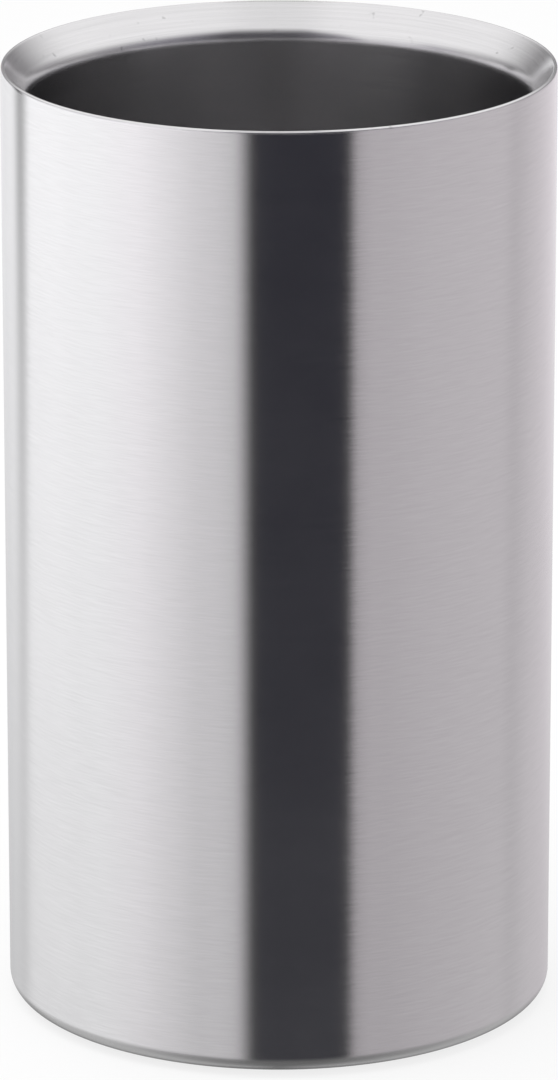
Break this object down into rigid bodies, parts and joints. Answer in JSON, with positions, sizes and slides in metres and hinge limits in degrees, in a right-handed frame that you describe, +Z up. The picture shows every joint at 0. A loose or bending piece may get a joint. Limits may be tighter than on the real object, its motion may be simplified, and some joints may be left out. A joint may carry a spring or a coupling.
{
  "type": "double-walled bottle cooler",
  "caption": "Straight double-walled steel cylinder that keeps a wine or champagne bottle cool, with a funnel-shaped lip and a flat base.",
  "frame": {"origin": "on the cooler's axis, in the plane that it stands on", "axes": "+Z up along the axis, towards the open mouth; X and Y are equal, because the body is round"},
  "size_m": [0.114, 0.114, 0.2],
  "materials": {
    "jacket_steel": "fine lines round the body",
    "liner_steel": "fine lines round the well and lip",
    "base_steel": "plain sheet",
    "pad_foam": "closed-cell foam",
    "foot_rubber": "matt"
  },
  "bodies": {
    "root": {"outer_jacket": "jacket_steel", "inner_liner": "liner_steel", "base_plate": "base_steel", "support_pad": "pad_foam", "foot_ring": "foot_rubber"}
  },
  "joints": []
}
